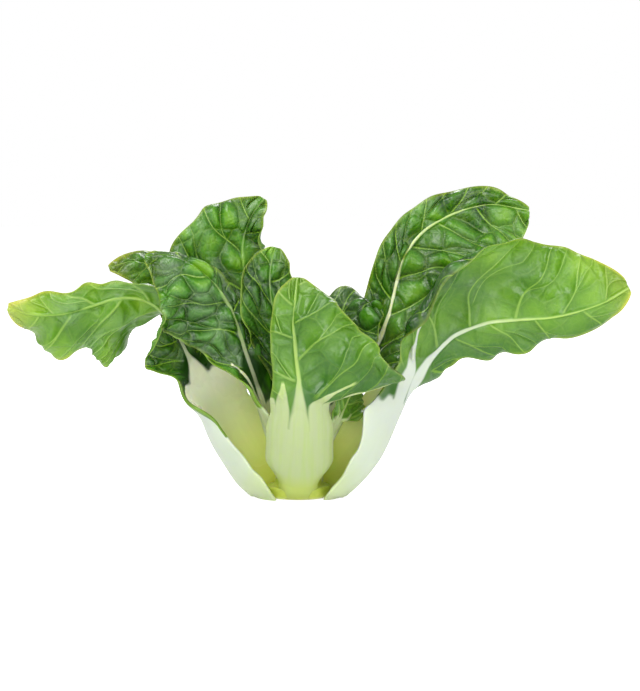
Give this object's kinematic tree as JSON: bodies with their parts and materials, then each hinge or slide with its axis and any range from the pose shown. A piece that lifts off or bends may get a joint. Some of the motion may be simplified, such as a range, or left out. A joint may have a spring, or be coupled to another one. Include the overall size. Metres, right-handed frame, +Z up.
{
  "type": "bok choy head",
  "caption": "Leafy head of bok choy standing on its cut stem: broad pale stalks fan out from a short core into large, waved, veined green leaves.",
  "frame": {"origin": "middle of the flat cut face of the stem, on the surface that the head stands on", "axes": "+Z up along the stem, +X to the right of the widest spread of leaves, -Y to the front, where the broad front stalk stands"},
  "size_m": [0.31, 0.151, 0.1548],
  "materials": {
    "stem_core": "moist cut plant tissue",
    "stalk_white": "smooth, slightly waxy",
    "stalk_green": "smooth, slightly waxy",
    "blade_light": "matt underside with raised veins",
    "blade_dark": "glossy, blistered between the veins"
  },
  "bodies": {
    "root": {"stem_core": "stem_core", "stalk_right": "stalk_white", "blade_right": "blade_light", "stalk_left": "stalk_white", "blade_left": "blade_light", "stalk_back": "stalk_green", "blade_back": "blade_dark", "stalk_front": "stalk_green", "blade_front": "blade_light", "stalk_back_right": "stalk_green", "blade_back_right": "blade_dark", "stalk_back_left": "stalk_green", "blade_back_left": "blade_dark", "stalk_left_inner": "stalk_green", "blade_left_inner": "blade_dark", "stalk_heart_right": "stalk_green", "blade_heart_right": "blade_dark", "stalk_back_inner": "stalk_green", "blade_back_inner": "blade_dark", "stalk_upper_left": "stalk_green", "blade_upper_left": "blade_dark", "stalk_hood": "stalk_green", "blade_hood": "blade_dark"}
  },
  "joints": []
}
